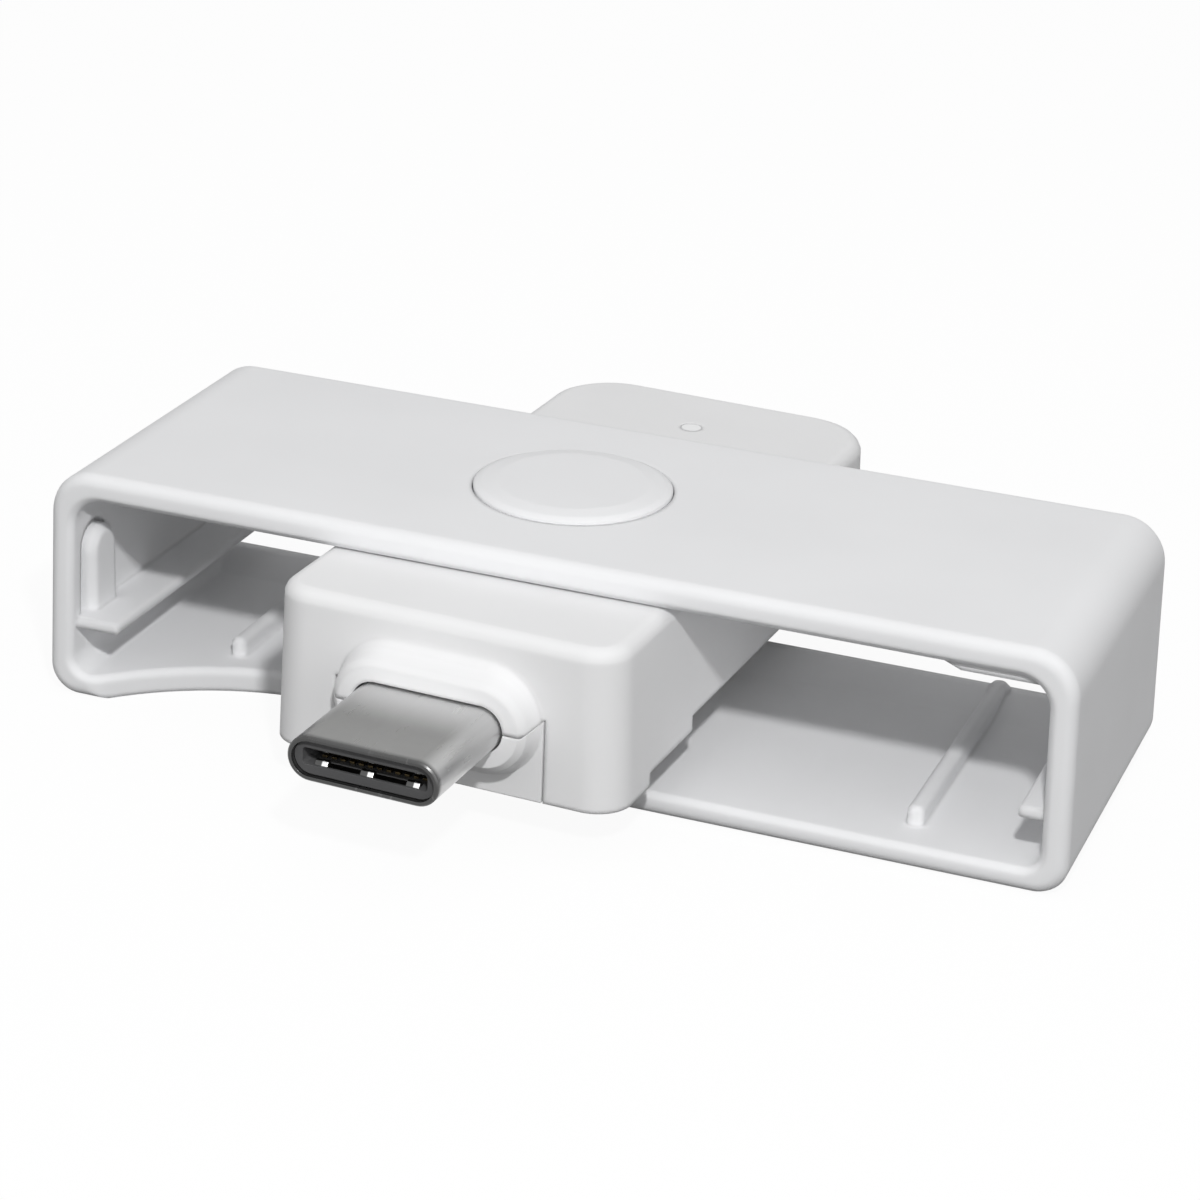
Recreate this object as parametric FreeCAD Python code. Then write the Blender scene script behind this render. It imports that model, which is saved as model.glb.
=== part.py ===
import FreeCAD, Part
import math
import os

# Folding pocket smart card reader, in millimetres.
# An open sleeve carries a reader core that swivels about a round pivot cap in the sleeve's top.
# X runs along the sleeve, Y towards its back and Z up, from the middle of the sleeve's underside.
# The core is drawn about its own pivot with the plug towards -Y, then turned into place.

Vec = FreeCAD.Vector

# Sleeve
sleeve_length = 57.6
sleeve_depth = 20.5
sleeve_height = 13.2
end_wall = 1.4
top_wall = 1.5
floor_wall = 1.3
end_draft = 2.0
top_corner = 2.5
bottom_corner = 1.7
inner_top_corner = 1.7
inner_bottom_corner = 1.0
rim_round = 0.55
inner_rim_bevel = 0.3
bevel_share = 0.73

# Finger scoop in the floor's front edge
scoop_from_end = 14.3
scoop_radius = 14.7
scoop_reach = 5.3
scoop_blend = 1.5

# Card guides in the sleeve
sill_height = 0.65
sill_land = 0.7
sill_ramp = 2.6
guide_setback = 0.6
rib_from_end = 8.6
rib_width = 0.9
rib_height = 1.05
rib_end_round = 0.4
rib_bevel = 0.25
right_rib_setback = 2.3
left_rib_setback = 6.1
rib_knob_diameter = 1.25
shelf_top = 4.5
shelf_thickness = 0.6
shelf_round = 0.2
left_shelf_reach = 2.6
right_shelf_reach = 1.35
ceiling_pad_thickness = 0.5
ceiling_pad_reach = 5.85
ceiling_pad_ramp = 1.2
wall_pad_width = 2.8
wall_pad_setback = 1.6
wall_pad_top = 9.2
wall_pad_proud = 0.6
wall_pad_arch = 1.35
wall_pad_bevel = 0.4
pad_groove_width = 0.5
pad_groove_depth = 0.5
root_overlap = 0.3

# Pivot
pivot_x = -2.1
open_turn = -2.6
cap_diameter = 10.8
cap_proud = 0.4
cap_shoulder = 1.3
cap_shoulder_drop = 0.3
cap_brow = 0.4
cap_brow_drop = 0.17
cap_recess = 0.5
cap_recess_clearance = 0.08
boss_diameter = 7.9
boss_clearance = 0.08
swivel_clearance = 0.08
wear_ring_width = 2.4
wear_ring_sunk = 0.45
wear_ring_clearance = 0.1
pivot_screw_diameter = 2.0
pivot_screw_grip = 1.3
pivot_screw_head_diameter = 3.8
pivot_screw_head_height = 1.1
pivot_socket_width = 1.5
pivot_socket_depth = 0.6
pivot_washer_diameter = 5.0
pivot_washer_thickness = 0.3
thread_clearance = 0.02
hole_clearance = 0.1

# Reader core
core_width = 19.9
core_front = -16.1
core_rear = 23.0
core_headroom = 0.15
tail_drop = 0.45
tail_step = 8.5
core_draft = 2.0
block_under = 2.7
step_under = 3.45
main_under = 4.3
block_step = -11.7
main_step = -6.0
front_corner = 2.0
rear_corner = 4.0
nose_round = 0.65
tail_round = 0.65
case_wall = 1.1
case_top = 1.2
plate_wall = 1.0
case_seam = 0.1
least_corner = 0.3

# Plug and the collar around it
plug_z = 6.8
plug_width = 8.25
plug_height = 2.4
plug_tip = -24.6
plug_rear = -14.8
plug_wall = 0.25
plug_tip_bevel = 0.1
plug_clearance = 0.1
collar_height = 1.5
collar_foot = (11.4, 6.3)
collar_foot_rise = 0.3
collar_base = (11.2, 5.6)
collar_lip = (10.8, 4.9)
collar_lip_bevel = 0.35
tongue_width = 11.6
tongue_ear_width = 0.65
tongue_ear_rise = 0.55
liner_clearance = 0.03
liner_setback = 0.3
mouth_width = 6.8
mouth_height = 0.9
mouth_depth = 5.5
mouth_corner = 0.2
contact_count = 12
contact_pitch = 0.5
contact_width = 0.26
contact_thickness = 0.1
contact_setback = 1.1
contact_tail = 1.4
latch_proud = 0.25
latch_height = 0.5
latch_setback = 1.6
latch_hook = 0.2
latch_hook_length = 0.6
dimple_count = 3
dimple_pitch = 2.5
dimple_length = 0.7
dimple_width = 0.5
dimple_crown = 0.2
dimple_proud = 0.2
dimple_setback = 0.42
spring_bar_thickness = 0.15

# Circuit board and what it carries
board_thickness = 0.7
board_side_gap = 0.2
board_rear_gap = 0.4
board_front_corner = 1.0
board_rear_corner = 3.0
card_thickness = 0.76
contact_field_x = -3.1
contact_field_from_edge = 15.06
field_columns = 4
field_pitch = 2.54
field_rows_apart = 7.62
holder_width = 12.6
holder_length = 11.6
holder_corner = 0.8
holder_clearance = 0.1
spring_width = 0.8
spring_thickness = 0.2
spring_seat = 0.9
spring_foot = 1.0
spring_run = 2.6
spring_tip_run = 0.6
spring_tip_rise = 0.7
spring_bite = 0.25
slot_clearance = 0.15
switch_x = 4.4
switch_width = 3.0
switch_length = 2.4
switch_height = 1.2
switch_setback = 1.4
chip_size = (5.0, 5.0, 0.9)
chip_y = -8.0
crystal_size = (3.2, 2.5, 0.8)
crystal_gap = 1.5
capacitor_size = (1.0, 0.5, 0.5)
resistor_size = (1.0, 0.5, 0.35)
small_part_count = 6
small_part_pitch = 1.4
capacitor_row_y = 6.0
resistor_row_y = 10.0
led_size = (1.6, 0.8, 0.6)
light_y = 17.2
pipe_diameter = 1.2
pipe_flange_diameter = 2.2
pipe_flange_height = 0.6
pipe_clearance = 0.02
pipe_gap = 0.1

# Screws that close the core
screw_diameter = 1.4
screw_head_diameter = 2.6
screw_head_height = 0.6
screw_recess = 0.15
screw_bite = 1.9
screw_hole_spare = 0.2
screw_socket_width = 0.9
screw_socket_depth = 0.3
post_diameter = 3.0
screw_inset = 3.75
screw_y = 18.6

# Places that follow from the sizes above
tiny = 1e-6
half_length = sleeve_length / 2
half_depth = sleeve_depth / 2
ceiling = sleeve_height - top_wall
draft_slope = math.tan(math.radians(end_draft))
core_slope = math.tan(math.radians(core_draft))
scoop_x = scoop_from_end - half_length
rib_x = half_length - rib_from_end
rib_top = floor_wall + rib_height
core_top = ceiling - core_headroom
tail_top = core_top - tail_drop
core_ceiling = tail_top - case_top
plate_top = main_under + plate_wall
plate_front = core_front + case_wall + case_seam
liner_front = plug_tip + liner_setback
mouth_end = liner_front + mouth_depth
board_low = plug_z - board_thickness / 2
board_high = plug_z + board_thickness / 2
field_x = contact_field_x - pivot_x
field_y = block_step + contact_field_from_edge
spring_low = rib_top + card_thickness - spring_bite
crystal_x = -(chip_size[0] + crystal_size[0]) / 2 - crystal_gap
screw_spots = [(side * (core_width / 2 - screw_inset), screw_y) for side in (-1, 1)]


def inner_half(z):
    return half_length - draft_slope * z - end_wall


def core_half(z):
    return core_width / 2 - core_slope * (z - block_under)


def rounded_wire(points, radii):
    # A closed outline through corner points, each corner turned by an arc of its own radius.
    corners = []
    for i, corner in enumerate(points):
        before = (points[i - 1] - corner).normalize()
        after = (points[(i + 1) % len(points)] - corner).normalize()
        half_angle = before.getAngle(after) / 2
        run = radii[i] / math.tan(half_angle)
        bulge = radii[i] / math.sin(half_angle) - radii[i]
        middle = corner if radii[i] == 0 else corner + (before + after).normalize() * bulge
        corners.append((corner + before * run, middle, corner + after * run))
    edges = []
    for i, (start, middle, end) in enumerate(corners):
        if radii[i] > 0:
            edges.append(Part.Arc(start, middle, end).toShape())
        following = corners[(i + 1) % len(corners)][0]
        if end.distanceToPoint(following) > tiny:
            edges.append(Part.LineSegment(end, following).toShape())
    return Part.Wire(edges)


def prism(points, radii, along):
    return Part.Face(rounded_wire(points, radii)).extrude(along)


def xz_prism(points, radii, y_low, y_high):
    return prism([Vec(x, y_low, z) for x, z in points], radii, Vec(0, y_high - y_low, 0))


def yz_prism(points, radii, x_low, x_high):
    return prism([Vec(x_low, y, z) for y, z in points], radii, Vec(x_high - x_low, 0, 0))


def xy_prism(points, radii, z_low, z_high):
    return prism([Vec(x, y, z_low) for x, y in points], radii, Vec(0, 0, z_high - z_low))


def block(low, high):
    return Part.makeBox(*(b - a for a, b in zip(low, high)), Vec(*low))


def seated_block(size, x, y, z):
    width, length, height = size
    return block((x - width / 2, y - length / 2, z), (x + width / 2, y + length / 2, z + height))


def post(diameter, z_low, z_high, x=0, y=0):
    return Part.makeCylinder(diameter / 2, z_high - z_low, Vec(x, y, z_low))


def hexagon(width, z_low, z_high, x=0, y=0):
    radius = width / math.sqrt(3)
    turns = [math.radians(60 * i) for i in range(6)]
    points = [(x + radius * math.cos(t), y + radius * math.sin(t)) for t in turns]
    return xy_prism(points, [0] * len(points), z_low, z_high)


def obround_wire(width, height, y):
    w, h = width / 2, height / 2
    left, right = Vec(h - w, y, plug_z), Vec(w - h, y, plug_z)
    up, out = Vec(0, 0, h), Vec(h, 0, 0)
    return Part.Wire([Part.LineSegment(left - up, right - up).toShape(),
                      Part.Arc(right - up, right + out, right + up).toShape(),
                      Part.LineSegment(right + up, left + up).toShape(),
                      Part.Arc(left + up, left - out, left - up).toShape()])


def obround(width, height, y_low, y_high):
    return Part.Face(obround_wire(width, height, y_low)).extrude(Vec(0, y_high - y_low, 0))


def bent_strip(path, thickness, x_low, x_high):
    # A strip of even thickness bent along a path of (y, z) points.
    sides = ([], [])
    for i, (y, z) in enumerate(path):
        here = Vec(0, y, z)
        ways = [(Vec(0, *b) - Vec(0, *a)).normalize() for a, b in zip(path, path[1:])]
        before, after = ways[max(i - 1, 0)], ways[min(i, len(ways) - 1)]
        square = (Vec(0, -before.z, before.y) + Vec(0, -after.z, after.y)).normalize()
        reach = thickness / 2 / square.dot(Vec(0, -before.z, before.y))
        for side, sign in zip(sides, (1, -1)):
            side.append(here + square * reach * sign)
    outline = [(p.y, p.z) for p in sides[0] + sides[1][::-1]]
    return yz_prism(outline, [0] * len(outline), x_low, x_high)


def fused(shapes):
    whole = shapes[0]
    for shape in shapes[1:]:
        whole = whole.fuse(shape)
    return whole.removeSplitter()


def lies_at(edge, axis, value):
    return all(abs(vertex.Point[axis] - value) < tiny for vertex in edge.Vertexes)


def edges_at_height(shape, z):
    return [edge for edge in shape.Edges if lies_at(edge, 2, z)]


def softened(shape, axis, side, face, reach):
    # Rounds the rim of an end face in three flats: a bevel, then a smaller one on each of its two edges.
    # The rim has no edge where the core's nose and tail meet.
    bevel = reach * bevel_share
    for place, size in ((face, bevel), (face - side * bevel, reach - bevel), (face, reach - bevel)):
        rim = [edge for edge in shape.Edges if lies_at(edge, axis, place) and not lies_at(edge, 1, tail_step)]
        shape = shape.makeChamfer(size, rim)
    return shape


def corner_edges(shape, y):
    # The two leaning edges at one end of a prism along Y.
    return [edge for edge in shape.Edges
            if lies_at(edge, 1, y) and abs(edge.Vertexes[0].Z - edge.Vertexes[-1].Z) > tiny]


def on_core(shape):
    shape = shape.copy()
    shape.rotate(Vec(0, 0, 0), Vec(0, 0, 1), open_turn)
    shape.translate(Vec(pivot_x, 0, 0))
    return shape


def make_scoop():
    # A shallow arc with a small reverse arc at each end, so that it leaves the front edge smoothly.
    front = -half_depth
    centre = Vec(scoop_x, front - (scoop_radius - scoop_reach), -floor_wall)
    spread = math.sqrt((scoop_radius + scoop_blend) ** 2 - (front + scoop_blend - centre.y) ** 2)
    ends = []
    for side in (-1, 1):
        blend = Vec(scoop_x + side * spread, front + scoop_blend, centre.z)
        edge = Vec(blend.x, front, centre.z)
        meeting = centre + (blend - centre) * (scoop_radius / (scoop_radius + scoop_blend))
        toward = ((edge - blend).normalize() + (meeting - blend).normalize()).normalize()
        ends.append((edge, blend + toward * scoop_blend, meeting))
    (left_edge, left_middle, left_meeting), (right_edge, right_middle, right_meeting) = ends
    deepest = centre + Vec(0, scoop_radius, 0)
    ahead = Vec(0, -scoop_reach, 0)
    outline = Part.Wire([
        Part.Arc(left_edge, left_middle, left_meeting).toShape(),
        Part.Arc(left_meeting, deepest, right_meeting).toShape(),
        Part.Arc(right_meeting, right_middle, right_edge).toShape(),
        Part.LineSegment(right_edge, right_edge + ahead).toShape(),
        Part.LineSegment(right_edge + ahead, left_edge + ahead).toShape(),
        Part.LineSegment(left_edge + ahead, left_edge).toShape()])
    return Part.Face(outline).extrude(Vec(0, 0, floor_wall + rib_top))


def inner_rim(tube, inside, y):
    # The edges around one open end that lie on the inside, the scoop's among them.
    def on_rim(point):
        in_scoop = y < 0 and point.y < y + scoop_reach + tiny
        return abs(point.y - y) < tiny or (in_scoop and abs(point.z - floor_wall) < tiny)

    picked = []
    for edge in tube.Edges:
        ends = [vertex.Point for vertex in edge.Vertexes]
        middle = edge.valueAt((edge.FirstParameter + edge.LastParameter) / 2)
        on_inside = inside.distToShape(Part.Vertex(middle))[0] < tiny
        if on_inside and all(on_rim(point) for point in ends):
            picked.append(edge)
    return picked


def make_tube():
    low, high = half_length, half_length - draft_slope * sleeve_height
    outside = xz_prism([(-low, 0), (low, 0), (high, sleeve_height), (-high, sleeve_height)],
                       [bottom_corner, bottom_corner, top_corner, top_corner], -half_depth, half_depth)
    for side in (-1, 1):
        outside = softened(outside, 1, side, side * half_depth, rim_round)
    low, high = inner_half(floor_wall), inner_half(ceiling)
    inside = xz_prism([(-low, floor_wall), (low, floor_wall), (high, ceiling), (-high, ceiling)],
                      [inner_bottom_corner, inner_bottom_corner, inner_top_corner, inner_top_corner],
                      -half_depth, half_depth)
    tube = outside.cut(inside).cut(make_scoop())
    for y in (-half_depth, half_depth):
        tube = tube.makeChamfer(inner_rim_bevel, inner_rim(tube, inside, y))
    return tube


def make_sill(rear):
    # A low threshold along the floor's rear edge, with a long ramp towards the front.
    floor, top = floor_wall - root_overlap, floor_wall + sill_height
    ramp_end = rear - sill_land - sill_ramp
    outline = [(rear, floor), (rear, top), (rear - sill_land, top), (ramp_end, floor_wall), (ramp_end, floor)]
    half = inner_half(floor_wall)
    return yz_prism(outline, [0] * len(outline), -half, half)


def make_rib(x, front, rear):
    half = rib_width / 2
    outline = [(x - half, front), (x + half, front), (x + half, rear), (x - half, rear)]
    rib = xy_prism(outline, [rib_end_round] * len(outline), floor_wall - root_overlap, rib_top)
    return rib.makeChamfer(rib_bevel, edges_at_height(rib, rib_top))


def make_knob(x, rear):
    knob = post(rib_knob_diameter, floor_wall - root_overlap, rib_top, x, rear - rib_knob_diameter / 2)
    return knob.makeChamfer(rib_bevel, edges_at_height(knob, rib_top))


def make_shelf(side, reach, front, rear):
    wall, under = inner_half(shelf_top), shelf_top - shelf_thickness
    root, lip = side * (wall + root_overlap), side * (wall - reach)
    return xz_prism([(root, under), (lip, under), (lip, shelf_top), (root, shelf_top)],
                    [0, shelf_round, shelf_round, 0], front, rear)


def make_ceiling_pad(front, rear):
    root = inner_half(ceiling) + root_overlap
    start = inner_half(ceiling) - ceiling_pad_reach
    under, buried = ceiling - ceiling_pad_thickness, ceiling + root_overlap
    outline = [(start, ceiling), (start + ceiling_pad_ramp, under), (root, under), (root, buried), (start, buried)]
    return xz_prism(outline, [0] * len(outline), front, rear)


def arch_prism(y_low, y_high, z_low, z_high, x_low, x_high):
    outline = [(y_low, z_low), (y_high, z_low), (y_high, z_high), (y_low, z_high)]
    return yz_prism(outline, [0, 0, wall_pad_arch, wall_pad_arch], x_low, x_high)


def make_wall_pad():
    wall = -inner_half(shelf_top)
    low = wall_pad_setback - half_depth
    face = wall + wall_pad_proud
    pad = arch_prism(low, low + wall_pad_width, shelf_top - shelf_thickness, wall_pad_top,
                     wall - pad_groove_depth - root_overlap, face)
    brim = [edge for edge in pad.Edges if lies_at(edge, 0, face)
            and edge.Vertexes[0].Z + edge.Vertexes[-1].Z > 2 * shelf_top - shelf_thickness]
    return pad.makeChamfer(wall_pad_bevel, brim)


def make_pad_groove():
    # The channel that frames the wall pad's front and top.
    wall = -inner_half(shelf_top)
    low = wall_pad_setback - half_depth - pad_groove_width
    return arch_prism(low, low + wall_pad_width, shelf_top, wall_pad_top + pad_groove_width,
                      wall - pad_groove_depth, wall + wall_pad_proud)


def make_sleeve():
    front, rear = guide_setback - half_depth, half_depth - guide_setback
    tube = make_tube().cut(make_pad_groove())
    sleeve = fused([tube, make_sill(rear), make_rib(-rib_x, left_rib_setback - half_depth, rear),
                    make_rib(rib_x, right_rib_setback - half_depth, rear), make_knob(rib_x, rear),
                    make_shelf(-1, left_shelf_reach, front, rear), make_shelf(1, right_shelf_reach, front, rear),
                    make_ceiling_pad(front, rear), make_wall_pad()])
    bore = post(boss_diameter + 2 * boss_clearance, ceiling - root_overlap, sleeve_height, pivot_x)
    recess = post(cap_diameter + 2 * cap_recess_clearance, sleeve_height - cap_recess,
                  sleeve_height + cap_proud, pivot_x)
    return sleeve.cut(bore).cut(recess)


def make_pivot_cap():
    # Turned: a disc with a softly falling shoulder, on a boss that is bored for the screw from below.
    disc, boss, bore = cap_diameter / 2, boss_diameter / 2, pivot_screw_diameter / 2 + thread_clearance
    top, under = sleeve_height + cap_proud, sleeve_height - cap_recess + swivel_clearance
    bore_end = core_top + pivot_screw_grip
    profile = [(0, top), (disc - cap_shoulder, top), (disc - cap_brow, top - cap_shoulder_drop + cap_brow_drop),
               (disc, top - cap_shoulder_drop), (disc, under), (boss, under), (boss, core_top), (bore, core_top),
               (bore, bore_end), (0, bore_end)]
    outline = rounded_wire([Vec(radius, 0, z) for radius, z in profile], [0] * len(profile))
    return Part.Face(outline).revolve(Vec(0, 0, 0), Vec(0, 0, 1), 360)


def make_pivot_screw():
    head_top = core_ceiling - pivot_washer_thickness
    head_low = head_top - pivot_screw_head_height
    head = post(pivot_screw_head_diameter, head_low, head_top)
    shank = post(pivot_screw_diameter, head_low, core_top + pivot_screw_grip)
    return fused([head, shank]).cut(hexagon(pivot_socket_width, head_low, head_low + pivot_socket_depth))


def make_pivot_washer():
    low = core_ceiling - pivot_washer_thickness
    washer = post(pivot_washer_diameter, low, core_ceiling)
    return washer.cut(post(pivot_screw_diameter + 2 * hole_clearance, low, core_ceiling))


def ring_prism(spare, z_high):
    # The wear ring's shape, or with some spare room its seat, from the seat's bottom in the core's top.
    low = core_top - wear_ring_sunk
    inner = boss_diameter + 2 * (wear_ring_clearance - spare)
    return post(inner + 2 * wear_ring_width + 4 * spare, low, z_high).cut(post(inner, low, z_high))


def make_wear_ring():
    return ring_prism(0, ceiling - swivel_clearance)


def core_prism(y_low, y_high, z_low, z_high, inset):
    low, high = core_half(z_low) - inset, core_half(z_high) - inset
    return xz_prism([(-low, z_low), (low, z_low), (high, z_high), (-high, z_high)], [0] * 4, y_low, y_high)


def core_inside(z_low, inset):
    front, rear = core_front + inset, core_rear - inset
    inside = core_prism(front, rear, z_low, core_ceiling, inset)
    for y, radius in ((front, front_corner), (rear, rear_corner)):
        inside = inside.makeFillet(max(radius - inset, least_corner), corner_edges(inside, y))
    return inside


def make_core_outside():
    # A higher nose that fills the sleeve's front opening and a lower tail that clears the ceiling pad.
    nose = core_prism(core_front, tail_step, block_under, core_top, 0)
    nose = nose.makeFillet(front_corner, corner_edges(nose, core_front))
    tail = core_prism(tail_step, core_rear, block_under, tail_top, 0)
    tail = tail.makeFillet(rear_corner, corner_edges(tail, core_rear))
    return fused([softened(nose, 2, 1, core_top, nose_round), softened(tail, 2, 1, tail_top, tail_round)])


def make_collar():
    # A mound on the front face that the plug comes out of, from a flaring foot to a bevelled lip.
    lip_y = core_front - collar_height
    tip = [size - 2 * collar_lip_bevel for size in collar_lip]
    rings = [obround_wire(*collar_foot, core_front), obround_wire(*collar_base, core_front - collar_foot_rise),
             obround_wire(*collar_lip, lip_y + collar_lip_bevel), obround_wire(*tip, lip_y)]
    stages = [Part.makeLoft([a, b], True, True) for a, b in zip(rings, rings[1:])]
    return fused(stages + [obround(*collar_foot, core_front, core_front + case_wall)])


def tongue_prism(spare, y_low):
    # The lower case's share of the front: a tongue up to the plug's middle, with an ear at each side.
    half, seam = tongue_width / 2 + spare, plug_z - case_seam + spare
    notch = half - tongue_ear_width
    outline = [(-half, block_under - spare), (half, block_under - spare), (half, seam + tongue_ear_rise),
               (notch, seam), (-notch, seam), (-half, seam + tongue_ear_rise)]
    return xz_prism(outline, [0] * len(outline), y_low, core_front + case_wall + spare)


def plug_passage():
    return obround(plug_width + 2 * plug_clearance, plug_height + 2 * plug_clearance,
                   core_front - 2 * collar_height, plate_front + plate_wall)


def make_upper_case():
    case = make_core_outside().cut(core_inside(block_under - plate_wall, case_wall))
    for start, under in ((block_step, step_under), (main_step, main_under)):
        case = case.cut(block((-core_width, start, 0), (core_width, core_rear + case_wall, under)))
    posts = [post(post_diameter, board_high, core_ceiling + root_overlap, x, y) for x, y in screw_spots]
    case = fused([case, make_collar()] + posts)
    case = case.cut(tongue_prism(case_seam, core_front - 2 * collar_height)).cut(plug_passage())
    thread = screw_diameter + 2 * thread_clearance
    for x, y in screw_spots:
        case = case.cut(post(thread, board_high, board_high + screw_bite + screw_hole_spare, x, y))
    case = case.cut(ring_prism(wear_ring_clearance, core_top))
    case = case.cut(post(pivot_screw_diameter + 2 * hole_clearance, core_ceiling, core_top))
    return case.cut(post(pipe_diameter + 2 * pipe_clearance, core_ceiling, tail_top, 0, light_y))


def make_lower_case():
    rear = core_rear - case_wall - case_seam
    outline = [(plate_front, block_under), (block_step, block_under), (block_step, step_under),
               (main_step, step_under), (main_step, main_under), (rear, main_under), (rear, plate_top),
               (main_step - plate_wall, plate_top), (main_step - plate_wall, step_under + plate_wall),
               (block_step - plate_wall, step_under + plate_wall),
               (block_step - plate_wall, block_under + plate_wall), (plate_front, block_under + plate_wall)]
    plate = yz_prism(outline, [0] * len(outline), -core_width, core_width)
    plate = plate.common(core_inside(block_under, case_wall + case_seam))
    half = tongue_width / 2
    tongue = tongue_prism(0, core_front)
    foot = block((-half, core_front, block_under), (half, plate_front + plate_wall, block_under + plate_wall))
    collar = make_collar().common(tongue_prism(0, core_front - collar_height))
    posts = [post(post_diameter, plate_top - root_overlap, board_low, x, y) for x, y in screw_spots]
    case = fused([plate, tongue, foot, collar] + posts).cut(plug_passage())
    for x, y in screw_spots:
        head_top = main_under + screw_recess + screw_head_height
        case = case.cut(post(screw_head_diameter + 2 * hole_clearance, main_under, head_top, x, y))
        case = case.cut(post(screw_diameter + 2 * hole_clearance, main_under, board_low, x, y))
    case = case.cut(holder_plan(holder_clearance, main_under, plate_top))
    low, high = (switch_x + side * (spring_width / 2 + slot_clearance) for side in (-1, 1))
    front = block_step + slot_clearance
    return case.cut(block((low, front, step_under), (high, switch_rear() + slot_clearance, plate_top)))


def make_circuit_board():
    half = core_half(board_high) - case_wall - board_side_gap
    rear = core_rear - case_wall - board_rear_gap
    board = xy_prism([(-half, plug_rear), (half, plug_rear), (half, rear), (-half, rear)],
                     [board_front_corner, board_front_corner, board_rear_corner, board_rear_corner],
                     board_low, board_high)
    for x, y in screw_spots:
        board = board.cut(post(screw_diameter + 2 * hole_clearance, board_low, board_high, x, y))
    return board


def make_plug_shell():
    shell = obround(plug_width, plug_height, plug_tip, plug_rear)
    shell = shell.makeChamfer(plug_tip_bevel, [edge for edge in shell.Edges if lies_at(edge, 1, plug_tip)])
    return shell.cut(obround(plug_width - 2 * plug_wall, plug_height - 2 * plug_wall, plug_tip, plug_rear))


def make_plug_contacts(side):
    # Flat blades along the mouth's roof or floor, whose tails lie on the board behind the plug.
    surface = plug_z + side * mouth_height / 2
    low, high = sorted((surface, surface - side * contact_thickness))
    blades = []
    for i in range(contact_count):
        x = (i - (contact_count - 1) / 2) * contact_pitch
        blades.append(block((x - contact_width / 2, liner_front + contact_setback, low),
                            (x + contact_width / 2, plug_rear + contact_tail, high)))
    return Part.Compound(blades)


def make_plug_latch():
    arms = []
    low, high = plug_z - latch_height / 2, plug_z + latch_height / 2
    front = liner_front + latch_setback
    for side in (-1, 1):
        wall = side * mouth_width / 2
        face = wall - side * latch_proud
        arm = block((min(wall, face), front, low), (max(wall, face), mouth_end, high))
        tip = face - side * latch_hook
        hook = block((min(face, tip), front, low), (max(face, tip), front + latch_hook_length, high))
        arms.append(fused([arm, hook]))
    return Part.Compound(arms)


def make_ground_springs():
    # Two bars buried in the liner's lips, each with dimples that stand into the mouth.
    springs = []
    y = liner_front + dimple_setback
    reach = (dimple_count - 1) / 2 * dimple_pitch + dimple_length / 2
    low, high = y - dimple_width / 2, y + dimple_width / 2
    for side in (-1, 1):
        lip = plug_z + side * mouth_height / 2
        crown, back = lip - side * dimple_proud, lip + side * spring_bar_thickness
        outline = [(low, lip), (y - dimple_crown / 2, crown), (y + dimple_crown / 2, crown), (high, lip),
                   (high, back), (low, back)]
        pieces = [block((-reach, low, min(lip, back)), (reach, high, max(lip, back)))]
        for i in range(dimple_count):
            x = (i - (dimple_count - 1) / 2) * dimple_pitch
            pieces.append(yz_prism(outline, [0] * len(outline), x - dimple_length / 2, x + dimple_length / 2))
        springs.append(fused(pieces))
    return Part.Compound(springs)


def make_plug_insulator():
    inset = plug_wall + liner_clearance
    liner = obround(plug_width - 2 * inset, plug_height - 2 * inset, liner_front, plug_rear)
    w, h = mouth_width / 2, mouth_height / 2
    mouth = xz_prism([(-w, plug_z - h), (w, plug_z - h), (w, plug_z + h), (-w, plug_z + h)],
                     [mouth_corner] * 4, liner_front, mouth_end)
    liner = liner.cut(mouth)
    for inlay in (make_plug_contacts(1), make_plug_contacts(-1), make_ground_springs()):
        liner = liner.cut(inlay)
    return liner


def holder_plan(spare, z_low, z_high):
    w, l = holder_width / 2 + spare, holder_length / 2 + spare
    points = [(field_x - w, field_y - l), (field_x + w, field_y - l),
              (field_x + w, field_y + l), (field_x - w, field_y + l)]
    return xy_prism(points, [holder_corner + spare] * 4, z_low, z_high)


def card_spring_spots():
    # Where each spring touches the card, and which way it runs from its foot.
    for way in (-1, 1):
        for i in range(field_columns):
            x = field_x + (i - (field_columns - 1) / 2) * field_pitch
            yield x, field_y + way * field_rows_apart / 2, way


def make_card_contacts():
    springs = []
    seat = main_under + spring_seat
    low = spring_low + spring_thickness / 2
    for x, y, way in card_spring_spots():
        foot = y - way * (spring_run + spring_foot)
        path = [(foot, seat), (foot + way * spring_foot, seat), (y, low),
                (y + way * spring_tip_run, low + spring_tip_rise)]
        springs.append(bent_strip(path, spring_thickness, x - spring_width / 2, x + spring_width / 2))
    return Part.Compound(springs)


def make_card_contact_holder():
    holder = holder_plan(0, main_under, board_low)
    seat = main_under + spring_seat + spring_thickness
    for x, y, way in card_spring_spots():
        ends = sorted((y - way * spring_run, y + way * (spring_tip_run + spring_width)))
        half = spring_width / 2 + slot_clearance
        holder = holder.cut(block((x - half, ends[0], main_under), (x + half, ends[1], seat)))
    return holder.cut(make_card_contacts())


def switch_rear():
    return block_step + switch_setback + switch_length


def make_card_switch():
    front = block_step + switch_setback
    base = block((switch_x - switch_width / 2, front, board_low - switch_height),
                 (switch_x + switch_width / 2, front + switch_length, board_low))
    return base.cut(make_card_switch_leaf())


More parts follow.
